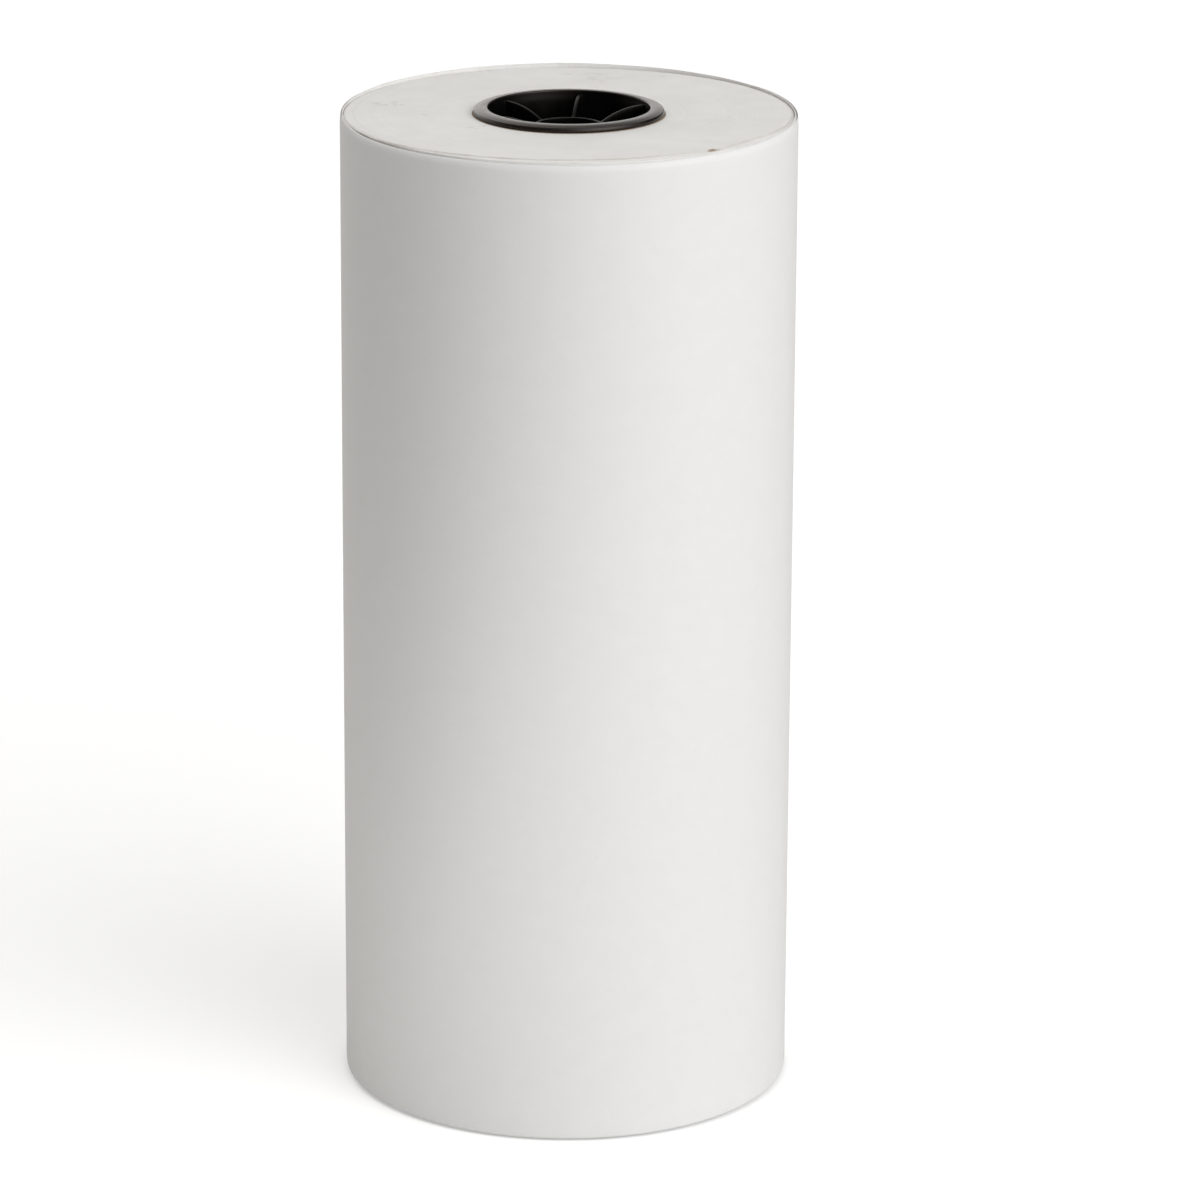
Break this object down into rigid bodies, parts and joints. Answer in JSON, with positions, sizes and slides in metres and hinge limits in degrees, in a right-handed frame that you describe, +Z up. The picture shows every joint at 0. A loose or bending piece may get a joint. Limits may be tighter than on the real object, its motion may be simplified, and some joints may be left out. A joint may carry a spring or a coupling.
{
  "type": "backdrop paper roll",
  "caption": "Short, fat roll of white backdrop paper standing on end, wound on a board core with a black webbed plug in each end.",
  "frame": {"origin": "centre of the roll's foot, on the floor plane under the bottom plug's flange", "axes": "+Z up along the winding axis; +Y towards the side that holds the free edge of the sheet; +X to the right when seen from -Y"},
  "size_m": [0.209, 0.209, 0.4628],
  "materials": {
    "paper_face": "matte with a faint sheen",
    "paper_edges": "matte, finely ringed",
    "board": "matte, spirally wound",
    "starter_tape": "matte",
    "closing_tape": "satin, creped",
    "plug": "semi-gloss, moulded"
  },
  "bodies": {
    "roll": {"wound_paper": "paper_edges", "outer_turns": "paper_edges", "last_turn": "paper_face", "core_tube": "board", "starter_tape": "starter_tape"},
    "plug_top": {"core_plug_top": "plug"},
    "plug_bottom": {"core_plug_bottom": "plug"},
    "tail_1": {"tail_leaf_1": "paper_face"},
    "tail_2": {"tail_leaf_2": "paper_face"},
    "tail_3": {"tail_leaf_3": "paper_face"},
    "tail_4": {"tail_leaf_4": "paper_face"},
    "tail_5": {"tail_leaf_5": "paper_face"},
    "tail_6": {"tail_leaf_6": "paper_face", "closing_tapes": "closing_tape"}
  },
  "joints": [
    {"name": "top_plug_pull", "type": "slide", "parent": "roll", "child": "plug_top", "axis": [0, 0, 1], "range_m": [0, 0.045]},
    {"name": "bottom_plug_pull", "type": "slide", "parent": "roll", "child": "plug_bottom", "axis": [0, 0, -1], "range_m": [0, 0.045]},
    {"name": "tail_bend_1", "type": "hinge", "parent": "roll", "child": "tail_1", "pos_m": [0.0982, 0.03574, 0.23], "axis": [0, 0, -1], "range_deg": [0, 7.5], "stiffness_Nm_per_rad": 0.007},
    {"name": "tail_bend_2", "type": "hinge", "parent": "tail_1", "child": "tail_2", "pos_m": [0.0856, 0.05994, 0.23], "axis": [0, 0, -1], "range_deg": [0, 15], "stiffness_Nm_per_rad": 0.007},
    {"name": "tail_bend_3", "type": "hinge", "parent": "tail_2", "child": "tail_3", "pos_m": [0.06717, 0.08005, 0.23], "axis": [0, 0, -1], "range_deg": [0, 15], "stiffness_Nm_per_rad": 0.007},
    {"name": "tail_bend_4", "type": "hinge", "parent": "tail_3", "child": "tail_4", "pos_m": [0.04416, 0.09471, 0.23], "axis": [0, 0, -1], "range_deg": [0, 15], "stiffness_Nm_per_rad": 0.007},
    {"name": "tail_bend_5", "type": "hinge", "parent": "tail_4", "child": "tail_5", "pos_m": [0.01815, 0.10291, 0.23], "axis": [0, 0, -1], "range_deg": [0, 15], "stiffness_Nm_per_rad": 0.007},
    {"name": "tail_bend_6", "type": "hinge", "parent": "tail_5", "child": "tail_6", "pos_m": [-0.00911, 0.1041, 0.23], "axis": [0, 0, -1], "range_deg": [0, 15], "stiffness_Nm_per_rad": 0.007}
  ],
  "couplings": [
    {"joint": "tail_bend_2", "follows": "tail_bend_1", "ratio": 2},
    {"joint": "tail_bend_3", "follows": "tail_bend_1", "ratio": 2},
    {"joint": "tail_bend_4", "follows": "tail_bend_1", "ratio": 2},
    {"joint": "tail_bend_5", "follows": "tail_bend_1", "ratio": 2},
    {"joint": "tail_bend_6", "follows": "tail_bend_1", "ratio": 2}
  ]
}
